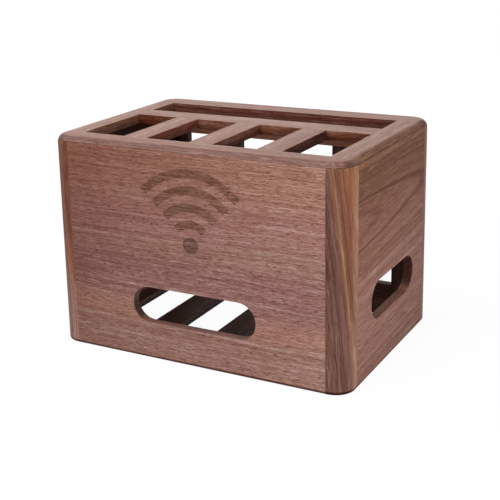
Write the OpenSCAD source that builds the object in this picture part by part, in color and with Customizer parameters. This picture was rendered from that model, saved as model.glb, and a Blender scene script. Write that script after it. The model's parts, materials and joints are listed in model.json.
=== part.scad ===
// Walnut storage box for a router: rounded corner posts, slotted walls,
// an open barred back and floor, and a lift-off barred lid.
// Millimetres, Z up, X to the right, the front faces -Y, origin at the centre of the underside.

/* [Box] */
// Overall width, left to right
box_w = 320; // [280:1:360]
// Overall depth, front to back
box_d = 228; // [205:1:260]
// Overall height with the lid on
box_h = 219; // [180:1:260]
// Radius of the four upright corners
corner_r = 20; // [14:1:22]
// Radius along the outer top edge, which the lid and the walls share
top_r = 8.5; // [4:0.5:9]
// Radius along the outer bottom edge
foot_r = 2.5; // [1:0.5:4]

/* [Boards and posts] */
// Thickness of the wall boards and of the legs of the posts
board_t = 10; // [9:0.5:12]
// Flat stretch of a post on the front or back, beside its round
post_front_flat = 1.5; // [0.5:0.5:6]
// Flat stretch of a post on the side, beside its round
post_side_flat = 4.5; // [0.5:0.5:10]

/* [Front slot] */
// Length of the slot in the front, end to end
front_slot_l = 136; // [90:1:180]
// Height of the slot in the front
front_slot_h = 37.5; // [28:0.5:46]
// Height of the front slot's centre above the table
front_slot_z = 56.5; // [40:0.5:90]

/* [Side slots] */
// Length of the slot in each side, end to end
side_slot_l = 115; // [80:1:130]
// Height of the slot in each side
side_slot_h = 38; // [28:0.5:46]
// Height of the side slots' centre above the table
side_slot_z = 70; // [40:1:100]
// Distance of the side slots' centre behind the middle of the box
side_slot_y = 3; // [-10:0.5:10]

/* [Lid] */
// Thickness of the lid inside the walls
lid_t = 10; // [9:0.5:14]
// Thickness of the lip that lies on the walls
lid_lip_t = 5; // [3:0.5:6]
// Width of the lid's front rail
lid_front_w = 23.5; // [23:0.5:30]
// Width of the lid's back rail
lid_back_w = 34; // [31:1:44]
// Width of the lid's side rails
lid_side_w = 26.5; // [25:0.5:32]
// Width of the lid's middle rail
lid_mid_w = 27.5; // [22:0.5:34]
// Front-to-back depth of the long cable slot behind the middle rail
cable_slot_d = 43.5; // [25:0.5:50]
// Width of each lid bar
lid_bar_w = 26; // [20:0.5:32]

/* [Back frame] */
// Width of the back frame's two stiles
back_stile_w = 25; // [18:1:32]
// Height of the back frame's top rail
back_top_h = 31; // [22:0.5:40]
// Height of the back frame's bottom rail
back_bottom_h = 35; // [26:1:45]
// Width of each back bar
back_bar_w = 27; // [20:1:32]

/* [Floor] */
// Thickness of the floor bars and ledges
floor_t = 8; // [7:0.5:12]
// Width of each floor bar
floor_bar_w = 30; // [18:0.5:34]
// Width of the ledge along each side wall
floor_ledge_w = 16; // [8:1:24]

/* [Joinery] */
// Thickness of every tongue and tenon
tenon_t = 4; // [3:0.5:5]
// Length of the tongues on the wall boards and of the floor bars' tenons
tongue_l = 5; // [3:0.5:6]
// Length of the tenons in the lid and the back frame
tenon_l = 8; // [4:0.5:10]
// Shoulder left on each side of a tenon's width
shoulder = 6; // [3:0.5:7]
// Glue gap on each side of a tongue or tenon
glue_gap = 0.1; // [0.05:0.05:0.2]
// Side clearance of the lid inside the walls
lid_gap = 0.5; // [0.3:0.1:1]
// Seam between the lid's lip and the top of the walls
lid_seam = 0.3; // [0.2:0.1:0.5]

/* [Hidden] */
$fn = 64;

// Oiled walnut, from the ruddy posts to the pale lid and the dark inside
front_colour = "#936a5c";
side_colour = "#80604f";
post_colour = "#9a6a4c";
lid_colour = "#a58779";
inside_colour = "#6a4a3b";

// How far a cut runs past the face that it opens
over = 1;

half_w = box_w / 2;
half_d = box_d / 2;
wall_h = box_h - lid_lip_t - lid_seam;

// Reach of a post from the corner along the front or back, and along the side
post_w = corner_r + post_front_flat;
post_d = corner_r + post_side_flat;

// Inside faces of the walls; the back frame stands behind the back posts' legs
inner_x = half_w - board_t;
inner_front = -half_d + board_t;
back_outer = half_d - board_t;
inner_back = back_outer - board_t;

// Three bars share a width with four equal openings between two edges
bar_count = 3;
function opening_w(span, bar) = (span - bar_count * bar) / (bar_count + 1);
function bar_x(i, span, bar) = (i - (bar_count + 1) / 2) * (opening_w(span, bar) + bar);

// Clear spans that the bars divide
lid_span = box_w - 2 * lid_side_w;
back_span = 2 * (inner_x - back_stile_w);
floor_span = 2 * (inner_x - floor_ledge_w);

// Heights and rows of the lid
lid_bottom = box_h - lid_t;
lip_bottom = box_h - lid_lip_t;
tenon_z = box_h - lid_t / 2;
lid_front_y = -half_d + lid_front_w;
lid_back_y = half_d - lid_back_w;
lid_mid_back = lid_back_y - cable_slot_d;
lid_mid_front = lid_mid_back - lid_mid_w;
lid_inner_x = half_w - lid_side_w;
lid_drop_x = inner_x - lid_gap;
side_tenon_x = (lid_inner_x + lid_drop_x) / 2;
side_tenon_w = lid_drop_x - lid_inner_x - shoulder;

// Middle of the back frame's thickness, and the height of its windows
back_mid = (inner_back + back_outer) / 2;
window_top = wall_h - back_top_h;

// Waste outside a quarter circle of radius r about the origin
module round_waste(r) {
    difference() {
        square(r + over);
        circle(r);
    }
}

// Section from height z0 to z1 whose outer face is at X = w, cut by the round top and bottom edges of the box
module eased(w, z0, z1) {
    difference() {
        translate([0, z0])
            square([w, z1 - z0]);
        translate([w - top_r, box_h - top_r])
            round_waste(top_r);
        translate([w - foot_r, foot_r])
            mirror([0, 1])
                round_waste(foot_r);
    }
}

// Carries a section along Y, centred, with its width along X and its height along Z
module run_y(l) {
    translate([0, l / 2, 0])
        rotate([90, 0, 0])
            linear_extrude(l)
                children();
}

// Tenon or tongue that stands on the XZ plane and points to +Y
module tenon(w, l, t) {
    translate([-w / 2, 0, -t / 2])
        cube([w, l, t]);
}

// Pocket that takes such a tenon, with the glue gap all round
module mortise(w, l, t) {
    translate([-w / 2 - glue_gap, -over, -t / 2 - glue_gap])
        cube([w + 2 * glue_gap, l + glue_gap + over, t + 2 * glue_gap]);
}

// Through slot with round ends along Y, cut through a wall that stands on the YZ plane
module stadium(l, h, z) {
    depth = board_t + 2 * over;
    translate([-board_t - over, 0, z])
        rotate([0, 90, 0]) {
            for (side = [-1, 1])
                translate([0, side * (l - h) / 2, 0])
                    cylinder(d = h, h = depth);
            translate([-h / 2, -(l - h) / 2, 0])
                cube([h, l - h, depth]);
        }
}

// Wall board on the YZ plane: outer face at X = 0, a full-height tongue on each end and a slot
module wall_board(l, slot_l, slot_h, slot_y, slot_z) {
    difference() {
        translate([-board_t, 0, 0])
            run_y(l)
                eased(board_t, 0, wall_h);
        translate([0, slot_y, 0])
            stadium(slot_l, slot_h, slot_z);
    }
    for (side = [0, 180])
        translate([-board_t / 2, 0, 0])
            rotate([0, 0, side])
                translate([0, l / 2, wall_h / 2])
                    tenon(tenon_t, tongue_l, wall_h);
}

// Corner post at +X +Y: a quarter round with two legs as thick as the boards
module corner_post(front_groove) {
    difference() {
        union() {
            translate([half_w - corner_r, half_d - corner_r, 0])
                rotate_extrude(angle = 90)
                    eased(corner_r, 0, wall_h);
            translate([half_w - corner_r - post_front_flat / 2, back_outer, 0])
                rotate([0, 0, 90])
                    run_y(post_front_flat)
                        eased(board_t, 0, wall_h);
            translate([inner_x, half_d - corner_r - post_side_flat / 2, 0])
                run_y(post_side_flat)
                    eased(board_t, 0, wall_h);
        }
        // Square hollow between the legs
        translate([half_w - corner_r - over, half_d - corner_r - over, -over])
            cube([corner_r - board_t + over, corner_r - board_t + over, wall_h + 2 * over]);
        // Groove for the side board's tongue
        translate([half_w - board_t / 2, half_d - post_d, wall_h / 2])
            mortise(tenon_t, tongue_l, wall_h);
        // Groove for the front board's tongue
        if (front_groove)
            translate([half_w - post_w, half_d - board_t / 2, wall_h / 2])
                rotate([0, 0, -90])
                    mortise(tenon_t, tongue_l, wall_h);
    }
}

// Rail of the lid that runs the full width at +Y, with a drop that fits inside the walls
module lid_cross_rail(w, drop_y) {
    drop_h = lip_bottom - lid_bottom;
    round_x = half_w - corner_r;
    translate([0, half_d - w, 0])
        rotate([0, 0, 90])
            run_y(2 * round_x)
                eased(w, lip_bottom, box_h);
    for (flip = [0, 1])
        mirror([flip, 0, 0]) {
            translate([round_x, half_d - corner_r, 0])
                rotate_extrude(angle = 90)
                    eased(corner_r, lip_bottom, box_h);
            translate([round_x, half_d - (w + corner_r) / 2, 0])
                run_y(w - corner_r)
                    eased(corner_r, lip_bottom, box_h);
        }
    translate([-lid_drop_x, half_d - w, lid_bottom])
        cube([2 * lid_drop_x, drop_y - half_d + w, drop_h]);
}

// Places a shape on the right and, mirrored, on the left
module on_both_sides() {
    for (flip = [0, 1])
        mirror([flip, 0, 0])
            children();
}

module front_panel() {
    color(front_colour)
        difference() {
            translate([0, -half_d, 0])
                rotate([0, 0, -90])
                    wall_board(box_w - 2 * post_w, front_slot_l, front_slot_h, 0, front_slot_z);
            for (i = [1:bar_count])
                translate([bar_x(i, floor_span, floor_bar_w), inner_front, floor_t / 2])
                    rotate([0, 0, 180])
                        mortise(floor_bar_w - 2 * shoulder, tongue_l, tenon_t);
        }
}

module side_panel() {
    color(side_colour)
        translate([half_w, 0, 0])
            wall_board(box_d - 2 * post_d, side_slot_l, side_slot_h, side_slot_y, side_slot_z);
}

module left_panel() {
    mirror([1, 0, 0])
        side_panel();
}

module right_panel() {
    side_panel();
}

module front_right_post() {
    color(post_colour)
        mirror([0, 1, 0])
            corner_post(true);
}

module front_left_post() {
    mirror([1, 0, 0])
        front_right_post();
}

module back_right_post() {
    color(post_colour)
        corner_post(false);
}

module back_left_post() {
    mirror([1, 0, 0])
        back_right_post();
}

// Stile on the right of the back frame, with a mortise for each rail
module back_right_stile() {
    color(inside_colour)
        difference() {
            translate([inner_x - back_stile_w, inner_back, 0])
                cube([back_stile_w, board_t, wall_h]);
            for (rail = [[0, back_bottom_h], [window_top, back_top_h]])
                translate([inner_x - back_stile_w, back_mid, rail[0] + rail[1] / 2])
                    rotate([0, 90, -90])
                        mortise(rail[1] - 2 * shoulder, tenon_l, tenon_t);
        }
}

module back_left_stile() {
    mirror([1, 0, 0])
        back_right_stile();
}

// Rail between the stiles of the back frame, from height z up
module back_rail(z, h) {
    translate([-back_span / 2, inner_back, z])
        cube([back_span, board_t, h]);
    on_both_sides()
        translate([back_span / 2, back_mid, z + h / 2])
            rotate([0, 90, -90])
                tenon(h - 2 * shoulder, tenon_l, tenon_t);
}

module back_top_rail() {
    color(inside_colour)
        difference() {
            back_rail(window_top, back_top_h);
            for (i = [1:bar_count])
                translate([bar_x(i, back_span, back_bar_w), back_mid, window_top])
                    rotate([90, 0, 0])
                        mortise(back_bar_w - 2 * shoulder, tenon_l, tenon_t);
        }
}

module back_bottom_rail() {
    color(inside_colour)
        difference() {
            back_rail(0, back_bottom_h);
            for (i = [1:bar_count]) {
                translate([bar_x(i, back_span, back_bar_w), back_mid, back_bottom_h])
                    rotate([-90, 0, 0])
                        mortise(back_bar_w - 2 * shoulder, tenon_l, tenon_t);
                translate([bar_x(i, floor_span, floor_bar_w), inner_back, floor_t / 2])
                    mortise(floor_bar_w - 2 * shoulder, tongue_l, tenon_t);
            }
        }
}

// Upright bar i of the back frame, tenoned into both rails
module back_bar(i) {
    color(inside_colour)
        translate([bar_x(i, back_span, back_bar_w), back_mid, 0]) {
            translate([-back_bar_w / 2, -board_t / 2, back_bottom_h])
                cube([back_bar_w, board_t, window_top - back_bottom_h]);
            translate([0, 0, window_top])
                rotate([90, 0, 0])
                    tenon(back_bar_w - 2 * shoulder, tenon_l, tenon_t);
            translate([0, 0, back_bottom_h])
                rotate([-90, 0, 0])
                    tenon(back_bar_w - 2 * shoulder, tenon_l, tenon_t);
        }
}

module floor_right_ledge() {
    color(inside_colour)
        translate([inner_x - floor_ledge_w, inner_front, 0])
            cube([floor_ledge_w, inner_back - inner_front, floor_t]);
}

module floor_left_ledge() {
    mirror([1, 0, 0])
        floor_right_ledge();
}

// Floor bar i, tenoned into the front board and the back frame's bottom rail
module floor_bar(i) {
    color(inside_colour)
        translate([bar_x(i, floor_span, floor_bar_w), 0, floor_t / 2]) {
            translate([-floor_bar_w / 2, inner_front, -floor_t / 2])
                cube([floor_bar_w, inner_back - inner_front, floor_t]);
            translate([0, inner_back, 0])
                tenon(floor_bar_w - 2 * shoulder, tongue_l, tenon_t);
            translate([0, inner_front, 0])
                rotate([0, 0, 180])
                    tenon(floor_bar_w - 2 * shoulder, tongue_l, tenon_t);
        }
}

module lid_front_rail() {
    color(lid_colour)
        difference() {
            mirror([0, 1, 0])
                lid_cross_rail(lid_front_w, -inner_front - lid_gap);
            on_both_sides()
                translate([side_tenon_x, lid_front_y, tenon_z])
                    rotate([0, 0, 180])
                        mortise(side_tenon_w, tenon_l, tenon_t);
            for (i = [1:bar_count])
                translate([bar_x(i, lid_span, lid_bar_w), lid_front_y, tenon_z])
                    rotate([0, 0, 180])
                        mortise(lid_bar_w - 2 * shoulder, tenon_l, tenon_t);
        }
}

module lid_back_rail() {
    color(lid_colour)
        difference() {
            lid_cross_rail(lid_back_w, inner_back - lid_gap);
            on_both_sides()
                translate([side_tenon_x, lid_back_y, tenon_z])
                    mortise(side_tenon_w, tenon_l, tenon_t);
        }
}

// Side rail on the right of the lid, between the front and back rails
module lid_right_rail() {
    rail_l = lid_back_y - lid_front_y;
    rail_y = (lid_back_y + lid_front_y) / 2;
    color(lid_colour)
        difference() {
            union() {
                translate([lid_inner_x, rail_y, 0])
                    run_y(rail_l)
                        eased(lid_side_w, lip_bottom, box_h);
                translate([lid_inner_x, lid_front_y, lid_bottom])
                    cube([lid_drop_x - lid_inner_x, rail_l, lip_bottom - lid_bottom]);
                translate([side_tenon_x, lid_back_y, tenon_z])
                    tenon(side_tenon_w, tenon_l, tenon_t);
                translate([side_tenon_x, lid_front_y, tenon_z])
                    rotate([0, 0, 180])
                        tenon(side_tenon_w, tenon_l, tenon_t);
            }
            translate([lid_inner_x, lid_mid_front + lid_mid_w / 2, tenon_z])
                rotate([0, 0, -90])
                    mortise(lid_mid_w - 2 * shoulder, tenon_l, tenon_t);
        }
}

module lid_left_rail() {
    mirror([1, 0, 0])
        lid_right_rail();
}

// Middle rail between the side rails, with mortises for the bars in its front edge
module lid_mid_rail() {
    color(lid_colour)
        difference() {
            union() {
                translate([-lid_inner_x, lid_mid_front, lid_bottom])
                    cube([lid_span, lid_mid_w, lid_t]);
                on_both_sides()
                    translate([lid_inner_x, lid_mid_front + lid_mid_w / 2, tenon_z])
                        rotate([0, 0, -90])
                            tenon(lid_mid_w - 2 * shoulder, tenon_l, tenon_t);
            }
            for (i = [1:bar_count])
                translate([bar_x(i, lid_span, lid_bar_w), lid_mid_front, tenon_z])
                    mortise(lid_bar_w - 2 * shoulder, tenon_l, tenon_t);
        }
}

// Bar i of the lid, tenoned into the front and middle rails
module lid_bar(i) {
    color(lid_colour)
        translate([bar_x(i, lid_span, lid_bar_w), 0, 0]) {
            translate([-lid_bar_w / 2, lid_front_y, lid_bottom])
                cube([lid_bar_w, lid_mid_front - lid_front_y, lid_t]);
            translate([0, lid_mid_front, tenon_z])
                tenon(lid_bar_w - 2 * shoulder, tenon_l, tenon_t);
            translate([0, lid_front_y, tenon_z])
                rotate([0, 0, 180])
                    tenon(lid_bar_w - 2 * shoulder, tenon_l, tenon_t);
        }
}

front_panel();
left_panel();
right_panel();
front_left_post();
front_right_post();
back_left_post();
back_right_post();
back_left_stile();
back_right_stile();
back_top_rail();
back_bottom_rail();
back_bar(1);  // back_bar_1
back_bar(2);  // back_bar_2
back_bar(3);  // back_bar_3
floor_left_ledge();
floor_right_ledge();
floor_bar(1);  // floor_bar_1
floor_bar(2);  // floor_bar_2
floor_bar(3);  // floor_bar_3
lid_front_rail();
lid_back_rail();
lid_left_rail();
lid_right_rail();
lid_mid_rail();
lid_bar(1);  // lid_bar_1
lid_bar(2);  // lid_bar_2
lid_bar(3);  // lid_bar_3
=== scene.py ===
import json
from math import cos, pi, radians, sin
from typing import NamedTuple

import bmesh
import bpy
import numpy as np
from bpy.props import FloatProperty, FloatVectorProperty, IntProperty, PointerProperty
from mathutils import Matrix, Vector
from mathutils.bvhtree import BVHTree

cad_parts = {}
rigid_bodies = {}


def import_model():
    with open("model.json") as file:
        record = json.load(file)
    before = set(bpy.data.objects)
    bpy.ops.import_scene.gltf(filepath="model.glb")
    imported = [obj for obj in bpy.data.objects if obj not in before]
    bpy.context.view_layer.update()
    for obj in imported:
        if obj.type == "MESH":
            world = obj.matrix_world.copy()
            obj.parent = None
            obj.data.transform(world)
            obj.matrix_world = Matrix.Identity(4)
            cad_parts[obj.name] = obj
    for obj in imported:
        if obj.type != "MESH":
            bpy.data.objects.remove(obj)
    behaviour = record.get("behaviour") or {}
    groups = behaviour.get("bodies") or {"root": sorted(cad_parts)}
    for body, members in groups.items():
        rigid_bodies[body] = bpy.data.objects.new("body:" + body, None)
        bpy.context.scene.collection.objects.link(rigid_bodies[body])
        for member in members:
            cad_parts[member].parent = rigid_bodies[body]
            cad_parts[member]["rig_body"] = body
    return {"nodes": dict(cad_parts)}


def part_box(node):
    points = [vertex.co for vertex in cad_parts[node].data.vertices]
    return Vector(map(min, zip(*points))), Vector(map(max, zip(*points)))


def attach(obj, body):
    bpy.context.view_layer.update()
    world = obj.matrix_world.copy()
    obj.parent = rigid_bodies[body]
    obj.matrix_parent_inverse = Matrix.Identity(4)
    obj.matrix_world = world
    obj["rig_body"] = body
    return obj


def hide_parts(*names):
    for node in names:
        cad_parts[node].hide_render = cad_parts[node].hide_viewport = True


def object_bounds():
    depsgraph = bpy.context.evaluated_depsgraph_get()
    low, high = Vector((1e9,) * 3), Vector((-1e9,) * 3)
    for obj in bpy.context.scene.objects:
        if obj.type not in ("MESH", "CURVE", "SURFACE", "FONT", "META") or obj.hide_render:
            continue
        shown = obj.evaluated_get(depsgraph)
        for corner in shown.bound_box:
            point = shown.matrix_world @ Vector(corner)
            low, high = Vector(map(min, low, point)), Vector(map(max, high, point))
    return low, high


bl_info = {
    "name": "Walnut router box",
    "version": (1, 0, 0),
    "blender": (4, 5, 0),
    "location": "View3D > Sidebar > Router box",
    "description": "Eases, cuts and finishes the boards of a walnut router box, and lights them",
    "category": "Object",
}

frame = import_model()
# The CAD's own box, kept before any piece is replaced
CAD_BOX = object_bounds()
# A millimetre, in metres
MM = 0.001


def tint(red, green, blue):
    """A colour written in 0 to 255 display values, as the linear values that a shader takes."""
    level = np.array([red, green, blue]) / 255
    return tuple(np.where(level <= 0.04045, level / 12.92, ((level + 0.055) / 1.055) ** 2.4))


def length(name, description, default):
    """A length property in metres whose default is written in millimetres."""
    return FloatProperty(name=name, description=description, default=default * MM, min=0, unit="LENGTH")


def colour(name, description, *levels):
    """A colour property whose default is written in 0 to 255 display values."""
    return FloatVectorProperty(name=name, description=description, default=tint(*levels), subtype="COLOR",
                               min=0, max=1)


def angle(name, description, default):
    """An angle property whose default is in radians."""
    return FloatProperty(name=name, description=description, default=default, subtype="ANGLE")


def point(name, description, *default):
    """A place property in metres."""
    return FloatVectorProperty(name=name, description=description, default=default, size=3,
                               subtype="TRANSLATION")


def power(name, description, default):
    """The power of a light, in watts."""
    return FloatProperty(name=name, description=description, default=default, min=0, subtype="POWER")


class BoxArrises(bpy.types.PropertyGroup):
    """Radii that the boards' edges are eased by."""
    board: length("Board", "Radius on the free edges of the boards and bars", 0.7)
    slot: length("Slot", "Radius round the outside of the long slots", 0.8)
    lid: length("Lid", "Radius on the edges of the lid's openings", 0.12)
    rim: length("Rim", "Radius on the walls' top edge, inside the slots and under the lid's lip", 0.2)
    seam: length("Seam", "Radius where two glued boards meet", 0.12)
    steps: IntProperty(name="Steps", description="Facets across each eased edge", default=3, min=1, max=6)


class BoxSign(bpy.types.PropertyGroup):
    """The wireless-signal fan let into the front board."""
    height: length("Height", "Height of the dot's centre above the table", 124.5)
    band: length("Band", "Width of each arc, and the dot's radius", 8.3)
    pitch: length("Pitch", "Distance from one arc to the next", 16.5)
    arcs: IntProperty(name="Arcs", description="Number of arcs above the dot", default=4, min=1, max=6)
    half_angle: angle("Half angle", "Angle from upright to either end of an arc", radians(46.5))
    depth: length("Depth", "How deep the fan is let into the board", 0.4)


class BoxTones(bpy.types.PropertyGroup):
    """Tones of the oiled walnut."""
    rosy: colour("Rosy", "Pinkish heartwood of the front", 152, 110, 101)
    mauve: colour("Mauve", "Purplish heartwood of the front", 141, 100, 94)
    tan: colour("Tan", "Lighter brown of the front", 155, 113, 98)
    umber: colour("Umber", "Plain brown of the sides, the posts and the lid's right rail", 135, 95, 73)
    hazel: colour("Hazel", "Greyish brown of the sides", 156, 115, 99)
    dusk: colour("Dusk", "Pinkish brown at the foot of the sides", 165, 126, 114)
    bark: colour("Bark", "Dull brown of the front, and at the foot of the front left post", 147, 109, 98)
    drab: colour("Drab", "Brown of the sign's arcs", 126, 88, 73)
    sepia: colour("Sepia", "Dark brown of the sign's dot", 109, 77, 67)
    amber: colour("Amber", "Orange brown of the front right post", 134, 85, 60)
    russet: colour("Russet", "Reddish brown of the posts", 124, 79, 61)
    auburn: colour("Auburn", "Deep orange brown of the front right post", 112, 71, 53)
    plum: colour("Plum", "Dark purplish heart of the front right post", 101, 68, 59)
    fawn: colour("Fawn", "Pale brown of the lid and of the back frame's outer faces", 154, 110, 93)
    # On the walls inside the lid's openings and on its lip, chestnut, sorrel, cocoa and taupe are partly
    # painted shade
    chestnut: colour("Chestnut", "Warm brown inside the lid's openings and on the front left post",
                     144, 91, 70)
    sorrel: colour("Sorrel", "Reddish brown inside the lid's openings and on the rail behind them",
                   158, 98, 76)
    cocoa: colour("Cocoa", "Dark brown inside the lid's long slot and on its third bar", 112, 66, 54)
    taupe: colour("Taupe", "Greyish brown of the lid's outer edge", 126, 90, 81)
    # Shade is the wood's own darker colour on end grain, and partly painted shade on the floor and the back
    # frame's inner faces
    shade: colour("Shade", "Dark brown of end grain, the floor and the back frame's inner faces", 80, 55, 47)


class BoxStage(bpy.types.PropertyGroup):
    """Camera, floor and light."""
    eye: point("Eye", "Place of the camera", 0.4962, -0.9343, 0.4375)
    yaw: angle("Yaw", "Heading of the camera, to the right of the box's depth", -0.5084)
    pitch: angle("Pitch", "Tilt of the camera, upwards", -0.2566)
    roll: angle("Roll", "Turn of the camera about its own line of sight", -0.0243)
    lens: FloatProperty(name="Lens", description="Focal length on a 36 mm sensor, in millimetres",
                        default=76.50, min=20, max=200)
    shift: FloatVectorProperty(name="Shift", description="Shift of the picture, in widths of the sensor",
                               size=2, default=(0.05, -0.136))
    key: power("Key", "Power of the light low on the right", 11)
    key_place: point("Key place", "Place of the light low on the right", 1.05, -0.9, 0.25)
    key_size: length("Key size", "Side of the light low on the right", 350)
    top: power("Top", "Power of the light above the box", 10.5)
    top_place: point("Top place", "Place of the light above the box", -0.35, -0.45, 1.2)
    top_size: length("Top size", "Side of the light above the box", 900)
    sky: FloatProperty(name="Sky", description="Strength of the even light from all round", default=0.15,
                       min=0)
    floor: colour("Floor", "Colour of the floor", 236, 235, 234)
    floor_half: length("Floor half", "Half the floor's side", 6000)


class Wash(NamedTuple):
    """A stretch of darker colour, or of paler colour where its depth is below 0: some are the wood's own
    tone, some painted shade or painted highlight.

    It grows from nothing at low to all its depth at high. Both are measured along the heading: they are
    dot products of the heading and a place in millimetres.
    """
    heading: tuple
    low: float
    high: float
    depth: float


class RingLine(NamedTuple):
    """One dark growth ring: its radius about the pith and half its width, in millimetres, and its depth."""
    radius: float
    half_w: float
    depth: float


class Timber(NamedTuple):
    """How one board was sawn from the log. Lengths are in millimetres and angles in degrees.

    The grain runs along one axis of the box. Turned so that the grain is X, and then by the tilt, the
    board's colour changes along the tone axis, by the stops of tones. The growth rings are circles about
    the pith, about one ring apart, and lines are single dark rings. The fibres swing sideways by up to the
    wave. Streaks are the long marks along the grain and figure the short ones. A depth says how much its
    mark darkens the wood, darker does so all over, and end_depth says how far end grain goes over to the
    shade tone. Start moves the marks along the grain, so that no two boards are alike. Upright names the
    tone of the standing faces, where that isn't the tone of the level ones, and gloss is the shader's
    specular level.
    """
    grain: str
    tones: tuple
    tone_axis: tuple = (0, 0, 1)
    darker: float = 0
    pith: tuple = (0, -300)
    tilt: tuple = (0, 0, 0)
    start: float = 0
    wave: float = 16
    ring: float = 6
    ring_depth: float = 0.35
    lines: tuple = ()
    streak_depth: float = 0.5
    streak_l: float = 46
    figure_depth: float = 0.25
    figure_l: float = 14
    figure_w: float = 1.7
    pore_depth: float = 0.5
    end_depth: float = 0.5
    washes: tuple = ()
    upright: str = ""
    gloss: float = 0.2


# Turns that bring each grain direction onto X
GRAIN_TURN = {"X": (0, 0, 0), "Y": (0, 0, -pi / 2), "Z": (0, pi / 2, 0)}
GRAIN_AXIS = {"X": (1, 0, 0), "Y": (0, 1, 0), "Z": (0, 0, 1)}

# Marks that all the boards share: length along the grain and width across it, in millimetres
SLOW_WAVE = (240, 60)
QUICK_WAVE = (22, 9)
PORE = (5, 0.5)
STREAK_W = 1.0
# The quick wave's swing, as a share of the slow one's
QUICK_SHARE = 0.14
# Noise levels between which a pore opens
PORE_OPENS = (0.60, 0.70)
# How squarely a face meets the grain, from side grain to end grain
END_GRAIN = (0.3, 0.8)
# How level a face is, from level to standing
STANDING = (0.998, 0.90)
# Sanded arrises are paler, and the lowest few millimetres of the box are darker, which is painted shade where
# the box meets the table
ARRIS_DEPTH = -0.06
FOOT_SHADE_DEPTH = 1.6
FOOT_SHADE_REACH = (4.2 * MM, 1.2 * MM)
# Standing faces lose this share of the gloss, where they have a tone of their own
MATT_SHARE = 0.8
# Roughness of the darkest streak, and how much smoother the palest one is
ROUGHNESS = 0.56
STREAK_POLISH = 0.16
# Relief of the streaks and the open pores
RELIEF_SHARE = 0.25
RELIEF = 0.15 * MM


class Graph:
    """Fills an empty node tree. An input is a socket, which is linked, or a plain value."""

    def __init__(self, owner):
        owner.use_nodes = True
        self.nodes = owner.node_tree.nodes
        self.links = owner.node_tree.links
        self.nodes.clear()

    def add(self, kind, inputs=(), **settings):
        """A new node with its settings and inputs."""
        node = self.nodes.new("ShaderNode" + kind)
        for name, value in settings.items():
            setattr(node, name, value)
        for name, value in dict(inputs).items():
            self.put(node.inputs[name], value)
        return node

    def put(self, socket, value):
        """Links a socket to an input, or sets a plain value on it."""
        if isinstance(value, bpy.types.NodeSocket):
            self.links.new(value, socket)
        else:
            socket.default_value = value

    def math(self, operation, *values):
        """The result of one step of arithmetic."""
        return self.add("Math", enumerate(values), operation=operation).outputs[0]

    def vector(self, operation, *values, output="Vector"):
        """The result of one step of vector arithmetic, which some steps give as a Value."""
        return self.add("VectorMath", enumerate(values), operation=operation).outputs[output]

    def height(self, vector):
        """The Z of a vector."""
        return self.add("SeparateXYZ", {0: vector}).outputs["Z"]

    def stretched(self, vector, along, across, detail, output="Fac"):
        """Noise whose spots are this long along the grain and this wide across it."""
        spots = self.vector("DIVIDE", vector, (along, across, across))
        noise = self.add("TexNoise", {"Vector": spots, "Scale": 1.0, "Detail": detail, "Roughness": 0.55})
        return noise.outputs[output]

    def ramp(self, factor, stops):
        """Colours at their places from 0 to 1, with soft changes between."""
        node = self.add("ValToRGB", {"Fac": factor})
        node.color_ramp.interpolation = "EASE"
        elements = node.color_ramp.elements
        while len(elements) < len(stops):
            elements.new(1.0)
        for element, (place, level) in zip(elements, stops):
            element.position = place
            element.color = (*level[:3], 1.0)
        return node.outputs["Color"]

    def blend(self, factor, first, second):
        """The first colour where the factor is 0, the second where it is 1.

        A colour Mix node has its factor at input 0, its colours at 6 and 7 and its result at output 2.
        """
        return self.add("Mix", {0: factor, 6: first, 7: second}, data_type="RGBA").outputs[2]

    def between(self, value, low, high):
        """0 at low, 1 at high, smooth between."""
        node = self.add("MapRange", {"Value": value, "From Min": low, "From Max": high},
                        interpolation_type="SMOOTHSTEP")
        return node.outputs[0]

    def end(self, kind, shader):
        """Links the finished shader to the tree's output."""
        self.add(kind, {"Surface": shader})


def swung_fibres(g, place, timber):
    """Places in the log in millimetres, X along the grain, pushed sideways by a slow and a quick wave."""
    turned = g.add("Mapping", {"Vector": place, "Rotation": GRAIN_TURN[timber.grain], "Scale": (1 / MM,) * 3})
    tilt = [radians(turn) for turn in timber.tilt]
    sawn = g.add("Mapping", {"Vector": turned.outputs[0], "Rotation": tilt}).outputs[0]
    shifted = g.vector("ADD", sawn, (timber.start, 0, 0))
    slow = g.stretched(shifted, *SLOW_WAVE, 1.0, "Color")
    swung = g.vector("MULTIPLY_ADD", slow, (0, timber.wave, timber.wave), sawn)
    quick = g.stretched(shifted, *QUICK_WAVE, 2.0, "Color")
    quick_wave = QUICK_SHARE * timber.wave
    return g.vector("MULTIPLY_ADD", quick, (0, quick_wave, quick_wave), swung)


def broad_tone(g, fibres, timber):
    """The tone by how far a place lies along the timber's tone axis."""
    tones = bpy.context.scene.box_tones
    low, high = timber.tones[0][0], timber.tones[-1][0]
    reach = g.vector("DOT_PRODUCT", fibres, timber.tone_axis, output="Value")
    share = g.add("MapRange", {"Value": reach, "From Min": low, "From Max": high}).outputs[0]
    return g.ramp(share, [((at - low) / (high - low), getattr(tones, tone)) for at, tone in timber.tones])


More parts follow.
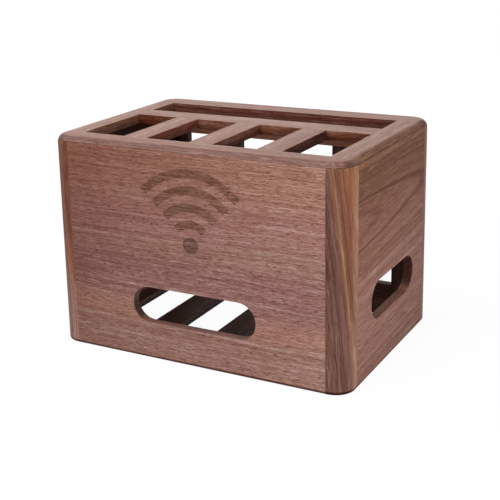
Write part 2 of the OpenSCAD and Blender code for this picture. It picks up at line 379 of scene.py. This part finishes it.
def fibre_density(g, place, fibres, streaks, pores, timber):
    """The power that the tone is raised to: 1 on plain wood, and more under each mark by the mark's depth."""
    shifted = g.vector("ADD", fibres, (timber.start, 0, 0))
    figure = g.stretched(shifted, timber.figure_l, timber.figure_w, 2.0)
    from_pith = g.vector("SUBTRACT", fibres, (0, *timber.pith))
    radius = g.vector("LENGTH", g.vector("MULTIPLY", from_pith, (0, 1, 1)), output="Value")
    rings = g.add("TexNoise", {"W": g.math("DIVIDE", radius, timber.ring), "Scale": 1.0, "Detail": 3.0,
                               "Roughness": 0.6}, noise_dimensions="1D").outputs[0]

    # Noise lies about a half, so these three lighten the wood as much as they darken it
    density = 1 + timber.darker
    for noise, depth in ((rings, timber.ring_depth), (streaks, timber.streak_depth),
                         (figure, timber.figure_depth)):
        density = g.math("MULTIPLY_ADD", g.math("SUBTRACT", noise, 0.5), -2 * depth, density)

    arris = g.add("Attribute", attribute_name="arris").outputs["Fac"]
    # Painted shade: darker over the lowest few millimetres, where the box meets the table
    foot = g.between(g.height(place), *FOOT_SHADE_REACH)
    marks = [(pores, timber.pore_depth), (arris, ARRIS_DEPTH), (foot, FOOT_SHADE_DEPTH)]
    for line in timber.lines:
        off = g.math("ABSOLUTE", g.math("SUBTRACT", radius, line.radius))
        marks.append((g.between(off, line.half_w, 0), line.depth))
    for wash in timber.washes:
        along = g.vector("DOT_PRODUCT", place, wash.heading, output="Value")
        marks.append((g.between(along, wash.low * MM, wash.high * MM), wash.depth))
    for mark, depth in marks:
        density = g.math("MULTIPLY_ADD", mark, depth, density)
    return density


def walnut(name, timber):
    """Oiled walnut as a solid pattern, so that its lines run on round edges and end grain shows by itself.

    The tone is raised to a power, the density, which darkens and reddens it as thick fibres do. Rings,
    streaks, figure, pores and washes each add to the density.
    """
    tones = bpy.context.scene.box_tones
    material = bpy.data.materials.new(name)
    g = Graph(material)
    place = g.add("TexCoord").outputs["Object"]
    normal = g.add("NewGeometry").outputs["Normal"]
    fibres = swung_fibres(g, place, timber)
    shifted = g.vector("ADD", fibres, (timber.start, 0, 0))
    streaks = g.stretched(shifted, timber.streak_l, STREAK_W, 3.0)
    pores = g.between(g.stretched(shifted, *PORE, 1.0), *PORE_OPENS)
    density = fibre_density(g, place, fibres, streaks, pores, timber)

    tone = broad_tone(g, fibres, timber)
    gloss = timber.gloss
    # Standing faces take the timber's upright tone where it names one: on the lid this is partly painted
    # shade on the walls of its openings and on its lip
    if timber.upright:
        standing = g.between(g.math("ABSOLUTE", g.height(normal)), *STANDING)
        tone = g.blend(standing, tone, (*getattr(tones, timber.upright), 1))
        gloss = g.math("MULTIPLY_ADD", standing, -MATT_SHARE * timber.gloss, timber.gloss)
    facing = g.vector("DOT_PRODUCT", normal, GRAIN_AXIS[timber.grain], output="Value")
    end_grain = g.between(g.math("ABSOLUTE", facing), *END_GRAIN)
    tone = g.blend(g.math("MULTIPLY", end_grain, timber.end_depth), tone, (*tones.shade, 1))
    oiled = g.add("Gamma", {"Color": tone, "Gamma": density}).outputs[0]

    roughness = g.math("MULTIPLY_ADD", streaks, -STREAK_POLISH, ROUGHNESS)
    relief = g.math("SUBTRACT", g.math("MULTIPLY", streaks, 0.5), pores)
    bump = g.add("Bump", {"Height": relief, "Strength": RELIEF_SHARE, "Distance": RELIEF}).outputs[0]
    shader = g.add("BsdfPrincipled", {"Base Color": oiled, "Roughness": roughness,
                                      "Specular IOR Level": gloss, "Normal": bump})
    g.end("OutputMaterial", shader.outputs[0])
    return material


# Distance along the log between the boards of the box's two sides, in millimetres
OTHER_SIDE = 613


def mirrored(timber):
    """Another length of a timber, for the other side of the box, with its washes turned left for right."""
    washes = tuple(wash._replace(heading=(-wash.heading[0], *wash.heading[1:])) for wash in timber.washes)
    return timber._replace(start=timber.start + OTHER_SIDE, washes=washes)


def next_cut(timber, k, along, wider):
    """The k-th board of a timber, sawn further along the log, where the rings are wider."""
    return timber._replace(start=along * k, ring=timber.ring + wider * k)


# Front board and sign: level grain, with tones by height
FRONT_TIMBER = Timber(
    "X", ((0, "bark"), (42, "bark"), (56, "tan"), (62, "tan"), (84, "mauve"), (110, "mauve"), (122, "bark"),
          (132, "bark"), (144, "rosy"), (165, "rosy"), (190, "tan"), (214, "tan")),
    ring=5, ring_depth=0.25, streak_depth=0.6, streak_l=120, figure_depth=0.45, figure_l=8, figure_w=1.1,
    pore_depth=1.0, end_depth=0.85,
    # Washes: darker towards the upper left and at the far left, partly the board's own tone and partly
    # painted shade where the light falls off to the left; paler towards the lower right; and darker more than
    # a millimetre behind the front face, painted shade on the slot's walls and the board's inner face
    washes=(Wash((-0.6, 0, 0.8), 60, 240, 0.25), Wash((-1, 0, 0), 70, 140, 0.1),
            Wash((0.7, 0, -0.7), 30, 80, -0.09), Wash((0, 1, 0), -113.2, -111.8, 0.25)))
SIGN_TIMBER = FRONT_TIMBER._replace(tones=((0, "sepia"), (140, "sepia"), (150, "drab"), (214, "drab")))

# Side boards: slanting grain with dark rings high up, and a darker slot, from its end grain and from painted
# shade on its walls
SIDE_TIMBER = Timber(
    "Y", ((0, "dusk"), (100, "dusk"), (116, "hazel"), (142, "hazel"), (198, "umber"), (214, "umber")),
    darker=0.25, pith=(-96.9, 158.9), tilt=(0, 1.7, -1.4), wave=2, figure_depth=0.4, figure_w=1.2, start=400,
    lines=(RingLine(64.4, 0.8, 0.5), RingLine(61, 0.8, 0.15), RingLine(72.7, 1, 0.2), RingLine(79, 1, 0.15)),
    end_depth=0.85, gloss=0.05,
    # Washes: darker towards the bottom; darker towards the back, painted shade where the light falls off; and
    # darker within two millimetres inside the outer face, painted shade on the slot's walls and the board's
    # inner face
    washes=(Wash((0, 0, -1), -45, -10, 0.12), Wash((0, 1, 0), 40, 100, 0.07),
            Wash((-1, 0, 0), -159.4, -157.5, 0.2)))

# Posts: upright grain, with the dark heart slanting across the front right one
FRONT_RIGHT_TIMBER = Timber(
    "Z", ((30, "plum"), (40.5, "plum"), (44, "umber"), (47.5, "auburn"), (50, "auburn"), (56, "russet"),
          (62, "amber"), (78, "amber")),
    tone_axis=(0, 0.707, -0.707), tilt=(0, 4.74, 4.74), pith=(-60, -200), ring=4, ring_depth=0.3,
    streak_depth=0.45, figure_depth=0.05, pore_depth=0.2, gloss=0.08,
    # Washes: paler towards the side board, a painted highlight along the post's round; and a little paler
    # lower down
    washes=(Wash((0, 1, 0), -104, -95, -0.24), Wash((0, 0, -1), -120, -60, -0.05)))
FRONT_LEFT_TIMBER = Timber(
    "Z", ((0, "bark"), (40, "bark"), (90, "chestnut"), (130, "russet"), (214, "russet")),
    tone_axis=(1, 0, 0), pith=(60, 200), ring=4, ring_depth=0.4, streak_depth=0.4, figure_depth=0.08,
    start=250, gloss=0.08)
BACK_POST_TIMBER = Timber(
    "Z", ((0, "umber"), (110, "russet"), (214, "umber")), tone_axis=(1, 0, 0), pith=(30, 120), ring=5,
    ring_depth=0.5, figure_depth=0.08, start=900)

# Back frame and floor: dark towards the inside, partly dark walnut and partly painted shade of the box's dim
# inside, and pale on the back's outer faces
UPRIGHT_TIMBER = Timber(
    "Z", ((94, "shade"), (101, "shade"), (104.5, "fawn"), (110, "fawn")), tone_axis=(0, 1, 0),
    pith=(160, 40), wave=2, ring_depth=0.2, streak_depth=0.25, figure_depth=0.1, gloss=0.05)
LEVEL_TIMBER = UPRIGHT_TIMBER._replace(grain="X", pith=(150, -60))
# The top rail is paler than the rest of the frame, and paler still on its front face: painted light, where
# light reaches it through the lid's long slot
TOP_RAIL_TIMBER = LEVEL_TIMBER._replace(
    tones=((94, "sorrel"), (97, "sorrel"), (102, "fawn"), (110, "fawn")),
    washes=(Wash((0, -1, 0), -101, -97, -0.2),))
DEEP_TIMBER = Timber(
    "Y", ((-110, "shade"), (110, "shade")), tone_axis=(1, 0, 0), pith=(30, -90), ring_depth=0.2,
    streak_depth=0.25, figure_depth=0.1, gloss=0.05)

# Lid: pale level faces, and openings whose walls are each of their own tone; these wall tones and the darker
# tone of the lip are partly the wood's own and partly painted shade
LID_CROSS_TIMBER = Timber(
    "X", ((-160, "fawn"), (160, "fawn")), tone_axis=(1, 0, 0), pith=(40, 120), ring_depth=0.45,
    streak_depth=0.65, figure_depth=0.45, end_depth=0.6, gloss=0.5)
LID_SIDE_TIMBER = LID_CROSS_TIMBER._replace(grain="Y", pith=(30, 110))
LID_TIMBERS = {
    "lid_front_rail": LID_CROSS_TIMBER._replace(
        upright="taupe", streak_depth=0.45, figure_depth=0.3,
        # Painted highlight: a paler line along the bottom of the lip, just above the seam
        washes=(Wash((0, -1, -1), -102.8, -101.4, -0.15),)),
    "lid_back_rail": LID_CROSS_TIMBER._replace(
        upright="cocoa", streak_depth=0.4, figure_depth=0.3, washes=(Wash((0, -1, 0), -90, -80, -0.08),)),
    "lid_mid_rail": LID_CROSS_TIMBER._replace(
        # The last wash is painted shade on the rail's front wall inside the openings, reaching further on the
        # left
        upright="chestnut", washes=(Wash((-1, 0, 0), -40, 130, 0.04), Wash((1, 0, 0), 0, 130, 0.04),
                                    Wash((-0.01, -1, 0), -8.3, -7.8, 0.35))),
    "lid_left_rail": LID_SIDE_TIMBER._replace(
        upright="chestnut", washes=(Wash((-1, 0, 0), -40, 130, -0.12),)),
    "lid_right_rail": LID_SIDE_TIMBER._replace(upright="umber"),
    "lid_bar_1": LID_SIDE_TIMBER._replace(upright="sorrel"),
    "lid_bar_2": LID_SIDE_TIMBER._replace(upright="chestnut", darker=0.12),
    "lid_bar_3": LID_SIDE_TIMBER._replace(upright="cocoa", darker=0.08),
}


# Points this near are one point, and faces this near to one plane are one face
SAME_POINT = 1e-6
SAME_PLANE = radians(0.4)
# Edges from the first angle on are eased, and from the second on they are shaded as sharp
EASED_ANGLE = radians(30)
SHARP_ANGLE = radians(38)
# Boxes this near touch, and an edge this near to another board is glued to it
TOUCHING = 0.2 * MM
GLUED = 0.15 * MM
# A cut this near to the end of a board isn't made
END_CLEAR = 0.5 * MM


def merged(node):
    """A CAD node's triangles as a bmesh of whole flat faces."""
    bm = bmesh.new()
    bm.from_mesh(frame["nodes"][node].data)
    bmesh.ops.remove_doubles(bm, verts=bm.verts, dist=SAME_POINT)
    bmesh.ops.dissolve_limit(bm, angle_limit=SAME_PLANE, verts=bm.verts, edges=bm.edges)
    return bm


def neighbours(node):
    """The other nodes of the same body whose boxes touch this node's box."""
    body = frame["nodes"][node]["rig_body"]
    low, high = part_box(node)
    found = []
    for other, piece in frame["nodes"].items():
        if other == node or piece["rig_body"] != body:
            continue
        other_low, other_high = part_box(other)
        if all(other_low[i] < high[i] + TOUCHING and other_high[i] > low[i] - TOUCHING for i in range(3)):
            found.append(other)
    return found


def split_at_joints(bm, node, others):
    """Cuts a board's faces where its neighbours' sides meet them, so that each stretch is free or glued."""
    low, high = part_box(node)
    for other in others:
        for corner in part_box(other):
            for axis in range(3):
                if low[axis] + END_CLEAR < corner[axis] < high[axis] - END_CLEAR:
                    normal = Vector((0, 0, 0))
                    normal[axis] = 1
                    bmesh.ops.bisect_plane(bm, geom=bm.verts[:] + bm.edges[:] + bm.faces[:], dist=SAME_POINT,
                                           plane_co=corner, plane_no=normal)


def weigh_edges(bm, others, radius_of, widest):
    """Gives each sharp edge its share of the widest radius: the seam's if it is glued, or radius_of's."""
    seam = bpy.context.scene.box_arrises.seam
    trees = []
    for other in others:
        other_bm = merged(other)
        trees.append(BVHTree.FromBMesh(other_bm))
        other_bm.free()
    weight = bm.edges.layers.float.new("bevel_weight_edge")
    for edge in bm.edges:
        if len(edge.link_faces) != 2 or edge.calc_face_angle(0) < EASED_ANGLE:
            continue
        middle = (edge.verts[0].co + edge.verts[1].co) / 2
        glued = any(tree.find_nearest(middle, GLUED)[0] is not None for tree in trees)
        edge[weight] = (seam if glued else radius_of(middle)) / widest


def settle(piece):
    """Makes the mesh that a piece's modifiers give its own mesh."""
    graph = bpy.context.evaluated_depsgraph_get()
    mesh = bpy.data.meshes.new_from_object(piece.evaluated_get(graph))
    piece.modifiers.clear()
    piece.data = mesh


def mark_arrises(piece):
    """Turns the second material, which the bevel gave its faces, into the attribute arris."""
    mark = np.zeros(len(piece.data.polygons), np.int32)
    piece.data.polygons.foreach_get("material_index", mark)
    attribute = piece.data.attributes.new("arris", "FLOAT", "FACE")
    attribute.data.foreach_set("value", mark.astype(np.float32))
    piece.data.polygons.foreach_set("material_index", np.zeros(len(mark), np.int32))
    piece.data.materials.clear()


def eased(node, radius_of):
    """A copy of a CAD board with its edges rounded, each by the radius that radius_of gives for its midpoint.

    An edge on a glued joint takes the seam's radius instead. The attribute arris marks the rounded faces.
    """
    arrises = bpy.context.scene.box_arrises
    widest = max(arrises.slot, arrises.board, arrises.lid, arrises.rim, arrises.seam)
    others = neighbours(node)
    bm = merged(node)
    split_at_joints(bm, node, others)
    weigh_edges(bm, others, radius_of, widest)
    mesh = bpy.data.meshes.new(node)
    bm.to_mesh(mesh)
    bm.free()
    piece = bpy.data.objects.new("walnut_" + node, mesh)
    bpy.context.scene.collection.objects.link(piece)
    for slot in ("flat", "round"):
        mesh.materials.append(bpy.data.materials.new(slot))
    bevel = piece.modifiers.new("arrises", "BEVEL")
    bevel.limit_method = "WEIGHT"
    bevel.width = widest
    bevel.segments = arrises.steps
    bevel.material = 1
    bevel.miter_outer = "MITER_ARC"
    settle(piece)
    mark_arrises(piece)
    return piece


def dress(piece, node, slot, *materials):
    """Gives a finished piece its materials and its soft edge shading, and puts it in its node's place."""
    for material in materials:
        piece.data.materials.append(material)
    piece.data.shade_smooth()
    piece.data.set_sharp_from_angle(angle=SHARP_ANGLE)
    piece.modifiers.new("shading", "WEIGHTED_NORMAL").keep_sharp = True
    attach(piece, frame["nodes"][node]["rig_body"])
    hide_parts(node)


# Heights of a wall's edges: above the first they are its top rim, and between the others its slot's
RIM_Z = 200 * MM
SLOT_LOW_Z, SLOT_HIGH_Z = 30 * MM, 100 * MM
# An edge this near to the box's outer faces is on the outside of a wall, or on the lid's lip
WALL_OUTSIDE = 1 * MM
LIP_OUTSIDE = 2 * MM


def board_radius(middle):
    """Free edges of a plain board."""
    return bpy.context.scene.box_arrises.board


def wall_radius(middle):
    """Edges of a wall board or post: the top edge under the lid, a slot's two rims, and the rest."""
    arrises = bpy.context.scene.box_arrises
    if middle.z > RIM_Z:
        return arrises.rim
    if not SLOT_LOW_Z < middle.z < SLOT_HIGH_Z:
        return arrises.board
    outside = abs(middle.x) > CAD_BOX[1].x - WALL_OUTSIDE or middle.y < CAD_BOX[0].y + WALL_OUTSIDE
    return arrises.slot if outside else arrises.rim


def lid_radius(middle):
    """Edges of a lid piece: the lip's lower edge, and the rims of the openings."""
    arrises = bpy.context.scene.box_arrises
    on_lip = abs(middle.x) > CAD_BOX[1].x - LIP_OUTSIDE or abs(middle.y) > CAD_BOX[1].y - LIP_OUTSIDE
    return arrises.rim if on_lip else arrises.lid


# The sign's cutter stands this far proud of the board
CUTTER_PROUD = 2 * MM
# Faces less deep than this are the board's front, and the sign's faces are found with this much to spare
FLUSH = 0.02 * MM
SIGN_SPARE = 0.2 * MM
# Steps round the dot, along an arc, and more for each arc further out
DOT_STEPS = 64
ARC_STEPS = 24
ARC_STEPS_MORE = 16


def arc_band(inner, outer, half_angle, near, far, steps):
    """A closed bar bent round the dot: its section, four corners, carried along an arc about the upright.

    At angle t from the upright and corner (r, y) a point is (r sin t, y, r cos t).
    """
    t = np.linspace(-half_angle, half_angle, steps)[:, None]
    r = np.array([inner, outer, outer, inner])
    y = np.array([near, near, far, far])
    points = np.stack([r * np.sin(t), y + 0 * t, r * np.cos(t)], -1).reshape(-1, 3)
    ring, corner = np.meshgrid(np.arange(steps - 1) * 4, np.arange(4), indexing="ij")
    following = (corner + 1) % 4
    sides = np.stack([ring + corner, ring + following, ring + 4 + following, ring + 4 + corner], -1)
    last = 4 * (steps - 1)
    caps = [[3, 2, 1, 0], [last, last + 1, last + 2, last + 3]]
    return points, sides.reshape(-1, 4).tolist() + caps


def disc(radius, near, far, steps):
    """A closed round plug about Y: at angle t, (radius sin t, y, radius cos t) at its near and far end."""
    t = np.arange(steps) * 2 * pi / steps
    ring = np.stack([radius * np.sin(t), 0 * t, radius * np.cos(t)], -1)
    points = np.concatenate([ring + [0, near, 0], ring + [0, far, 0]])
    i = np.arange(steps)
    j = (i + 1) % steps
    sides = np.stack([i, j, j + steps, i + steps], -1)
    return points, sides.tolist() + [i[::-1].tolist(), (i + steps).tolist()]


def fan_mesh(sign, face_y):
    """The sign's dot and arcs as closed solids that reach from before the board to the sign's floor."""
    near, far = face_y - CUTTER_PROUD, face_y + sign.depth
    shapes = [disc(sign.band, near, far, DOT_STEPS)]
    for k in range(1, sign.arcs + 1):
        inner = k * sign.pitch
        steps = ARC_STEPS + ARC_STEPS_MORE * k
        shapes.append(arc_band(inner, inner + sign.band, sign.half_angle, near, far, steps))
    bm = bmesh.new()
    for points, faces in shapes:
        shape = bpy.data.meshes.new("arc")
        shape.from_pydata((points + [0, 0, sign.height]).tolist(), [], faces)
        bm.from_mesh(shape)
        bpy.data.meshes.remove(shape)
    bmesh.ops.recalc_face_normals(bm, faces=bm.faces)
    mesh = bpy.data.meshes.new("fan")
    bm.to_mesh(mesh)
    bm.free()
    return mesh


def let_in(piece, sign, face_y):
    """Cuts the fan into the front board, with flat floors, and gives its faces the second material."""
    mesh = fan_mesh(sign, face_y)
    cutter = bpy.data.objects.new("fan", mesh)
    bpy.context.scene.collection.objects.link(cutter)
    cut = piece.modifiers.new("fan", "BOOLEAN")
    cut.object = cutter
    cut.solver = "EXACT"
    settle(piece)
    bpy.data.objects.remove(cutter)
    bpy.data.meshes.remove(mesh)
    centres = np.zeros(len(piece.data.polygons) * 3)
    piece.data.polygons.foreach_get("center", centres)
    x, y, z = centres.reshape(-1, 3).T
    deep = y - face_y
    reach = sign.arcs * sign.pitch + sign.band + SIGN_SPARE
    sunk = (deep > FLUSH) & (deep < sign.depth + SIGN_SPARE)
    sunk &= (np.hypot(x, z - sign.height) < reach) & (z > sign.height - sign.band - SIGN_SPARE)
    if not sunk.any():
        raise RuntimeError("The sign wasn't cut into the front board")
    piece.data.polygons.foreach_set("material_index", sunk.astype(np.int32))


class BOX_OT_front_board(bpy.types.Operator):
    """Makes the front board, with its slot eased and the wireless-signal fan let into it"""
    bl_idname = "router_box.front_board"
    bl_label = "Front board"

    def execute(self, context):
        piece = eased("front_panel", wall_radius)
        let_in(piece, context.scene.box_sign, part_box("front_panel")[0].y)
        dress(piece, "front_panel", "walnut_front", walnut("front_walnut", FRONT_TIMBER),
              walnut("sign_walnut", SIGN_TIMBER))
        return {"FINISHED"}


class BOX_OT_side_boards(bpy.types.Operator):
    """Makes the two slotted side boards"""
    bl_idname = "router_box.side_boards"
    bl_label = "Side boards"

    def execute(self, context):
        for node, timber in (("right_panel", SIDE_TIMBER), ("left_panel", mirrored(SIDE_TIMBER))):
            piece = eased(node, wall_radius)
            dress(piece, node, "walnut_side", walnut(node + "_walnut", timber))
        return {"FINISHED"}


class BOX_OT_corner_posts(bpy.types.Operator):
    """Makes the four rounded corner posts"""
    bl_idname = "router_box.corner_posts"
    bl_label = "Corner posts"

    def execute(self, context):
        timbers = {
            "front_right_post": FRONT_RIGHT_TIMBER,
            "front_left_post": FRONT_LEFT_TIMBER,
            "back_right_post": BACK_POST_TIMBER,
            "back_left_post": mirrored(BACK_POST_TIMBER),
        }
        for node, timber in timbers.items():
            piece = eased(node, wall_radius)
            dress(piece, node, "walnut_post", walnut(node + "_walnut", timber))
        return {"FINISHED"}


class BOX_OT_inside(bpy.types.Operator):
    """Makes the open frame of the back and the bars and ledges of the floor"""
    bl_idname = "router_box.inside"
    bl_label = "Back frame and floor"

    def execute(self, context):
        groups = (
            (UPRIGHT_TIMBER, ("back_left_stile", "back_right_stile", "back_bar_1", "back_bar_2",
                              "back_bar_3")),
            (TOP_RAIL_TIMBER, ("back_top_rail",)),
            (LEVEL_TIMBER, ("back_bottom_rail",)),
            (DEEP_TIMBER, ("floor_left_ledge", "floor_right_ledge", "floor_bar_1", "floor_bar_2",
                           "floor_bar_3")),
        )
        for timber, nodes in groups:
            for k, node in enumerate(nodes):
                piece = eased(node, board_radius)
                sawn = next_cut(timber, k, along=270, wider=0.7)
                dress(piece, node, "walnut_inside", walnut(node + "_walnut", sawn))
        return {"FINISHED"}


class BOX_OT_lid(bpy.types.Operator):
    """Makes the rails and bars of the lift-off lid"""
    bl_idname = "router_box.lid"
    bl_label = "Lid"

    def execute(self, context):
        for k, (node, timber) in enumerate(LID_TIMBERS.items()):
            piece = eased(node, lid_radius)
            sawn = next_cut(timber, k, along=330, wider=0.5)
            dress(piece, node, "walnut_lid", walnut(node + "_walnut", sawn))
        return {"FINISHED"}


WHITE = (1, 1, 1, 1)
# The floor's own glow to the eye, which grows to white from the first distance to the second, in metres
FLOOR_GLOW = 0.95
FLOOR_WHITE = (0.3, 0.8)
# Colour of the thin layer over the glow that takes the box's shadow
SHADOW_TAKER = (0.1, 0.1, 0.1, 1)
# Cells along each side of the floor's grid
FLOOR_CELLS = 12
# Width of the camera's sensor in millimetres, and how near it sees, in metres
SENSOR_W = 36
NEAREST = 0.02
# Points on the box's middle line that the two lights are turned to
KEY_AIM = (0, 0, 0.11)
TOP_AIM = (0, 0, 0.1)


def white_to_the_eye(g, seen, unseen):
    """One shader for rays from the eye, mirrors and glass, and another for the light that bounces."""
    rays = g.add("LightPath")
    straight = g.math("MAXIMUM", rays.outputs["Is Camera Ray"], rays.outputs["Is Glossy Ray"])
    straight = g.math("MAXIMUM", straight, rays.outputs["Is Transmission Ray"])
    return g.add("MixShader", {0: straight, 1: unseen, 2: seen}).outputs[0]


def floor_finish(stage):
    """Pale floor that is white to the eye where it is lit, and keeps a soft shadow."""
    material = bpy.data.materials.new("pale_floor")
    g = Graph(material)
    matt = g.add("BsdfDiffuse", {"Color": (*stage.floor, 1.0)}).outputs[0]
    away = g.vector("LENGTH", g.add("TexCoord").outputs["Object"], output="Value")
    level = g.math("MULTIPLY_ADD", g.between(away, *FLOOR_WHITE), 1 - FLOOR_GLOW, FLOOR_GLOW)
    glow = g.add("Emission", {"Color": WHITE, "Strength": level}).outputs[0]
    thin = g.add("BsdfDiffuse", {"Color": SHADOW_TAKER}).outputs[0]
    bright = g.add("AddShader", {0: glow, 1: thin}).outputs[0]
    g.end("OutputMaterial", white_to_the_eye(g, bright, matt))
    return material


def lay_floor(scene, stage):
    """A level sheet at the table's height: a grid of points (x, y, 0), x and y each from -half to half."""
    edge = np.linspace(-stage.floor_half, stage.floor_half, FLOOR_CELLS + 1)
    x, y = np.meshgrid(edge, edge)
    points = np.stack([x, y, 0 * x], -1).reshape(-1, 3)
    row = FLOOR_CELLS + 1
    i = (np.arange(FLOOR_CELLS)[:, None] * row + np.arange(FLOOR_CELLS)).ravel()
    mesh = bpy.data.meshes.new("floor")
    mesh.from_pydata(points.tolist(), [], np.stack([i, i + 1, i + row + 1, i + row], -1).tolist())
    mesh.materials.append(floor_finish(stage))
    floor = bpy.data.objects.new("floor", mesh)
    scene.collection.objects.link(floor)


def set_camera(scene, stage):
    """The photograph's view: a line of sight by yaw and pitch, and the picture turned about it by roll."""
    sight = Vector((sin(stage.yaw) * cos(stage.pitch), cos(stage.yaw) * cos(stage.pitch), sin(stage.pitch)))
    right = Matrix.Rotation(-stage.roll, 3, sight) @ Vector((cos(stage.yaw), -sin(stage.yaw), 0))
    up = right.cross(sight)
    camera = bpy.data.cameras.new("eye")
    camera.lens = stage.lens
    camera.sensor_width = SENSOR_W
    camera.shift_x, camera.shift_y = stage.shift
    camera.clip_start = NEAREST
    eye = bpy.data.objects.new("eye", camera)
    scene.collection.objects.link(eye)
    eye.matrix_world = Matrix.Translation(stage.eye) @ Matrix((right, up, -sight)).transposed().to_4x4()
    scene.camera = eye


def soft_light(name, place, aim, size, energy):
    """A square area light at a place, turned to an aim."""
    light = bpy.data.lights.new(name, "AREA")
    light.shape = "SQUARE"
    light.size = size
    light.energy = energy
    lamp = bpy.data.objects.new(name, light)
    bpy.context.scene.collection.objects.link(lamp)
    lamp.location = place
    lamp.rotation_euler = (Vector(aim) - Vector(place)).to_track_quat("-Z", "Y").to_euler()


def light_studio(scene, stage):
    """Two soft lights, and a world that is white to the eye and lights the box evenly."""
    soft_light("key", stage.key_place, KEY_AIM, stage.key_size, stage.key)
    soft_light("top", stage.top_place, TOP_AIM, stage.top_size, stage.top)
    world = bpy.data.worlds.new("studio")
    scene.world = world
    g = Graph(world)
    white = g.add("Background", {"Color": WHITE, "Strength": 1.0}).outputs[0]
    soft = g.add("Background", {"Color": WHITE, "Strength": stage.sky}).outputs[0]
    g.end("OutputWorld", white_to_the_eye(g, white, soft))


class BOX_OT_stage(bpy.types.Operator):
    """Sets the camera at the photograph's angle, the floor and the soft light"""
    bl_idname = "router_box.stage"
    bl_label = "Camera, floor and light"

    def execute(self, context):
        scene = context.scene
        scene.view_settings.view_transform = "Standard"
        set_camera(scene, scene.box_stage)
        lay_floor(scene, scene.box_stage)
        light_studio(scene, scene.box_stage)
        return {"FINISHED"}


class BOX_PT_sidebar(bpy.types.Panel):
    """Sizes, tones and steps of the router box"""
    bl_idname = "BOX_PT_sidebar"
    bl_label = "Router box"
    bl_space_type = "VIEW_3D"
    bl_region_type = "UI"
    bl_category = "Router box"

    def draw(self, context):
        for group in GROUPS:
            settings = getattr(context.scene, group)
            column = self.layout.column(align=True)
            for name in settings.__annotations__:
                column.prop(settings, name)
        for operator in OPERATORS:
            self.layout.operator(operator.bl_idname)


GROUPS = {"box_arrises": BoxArrises, "box_sign": BoxSign, "box_tones": BoxTones, "box_stage": BoxStage}
OPERATORS = (BOX_OT_front_board, BOX_OT_side_boards, BOX_OT_corner_posts, BOX_OT_inside, BOX_OT_lid,
             BOX_OT_stage)


def register():
    for name, group in GROUPS.items():
        bpy.utils.register_class(group)
        setattr(bpy.types.Scene, name, PointerProperty(type=group))
    for cls in (*OPERATORS, BOX_PT_sidebar):
        bpy.utils.register_class(cls)


def unregister():
    for cls in (BOX_PT_sidebar, *reversed(OPERATORS)):
        bpy.utils.unregister_class(cls)
    for name, group in reversed(GROUPS.items()):
        delattr(bpy.types.Scene, name)
        bpy.utils.unregister_class(group)


def main():
    register()
    bpy.ops.router_box.front_board()
    bpy.ops.router_box.side_boards()
    bpy.ops.router_box.corner_posts()
    bpy.ops.router_box.inside()
    bpy.ops.router_box.lid()
    bpy.ops.router_box.stage()


if __name__ == "__main__":
    main()
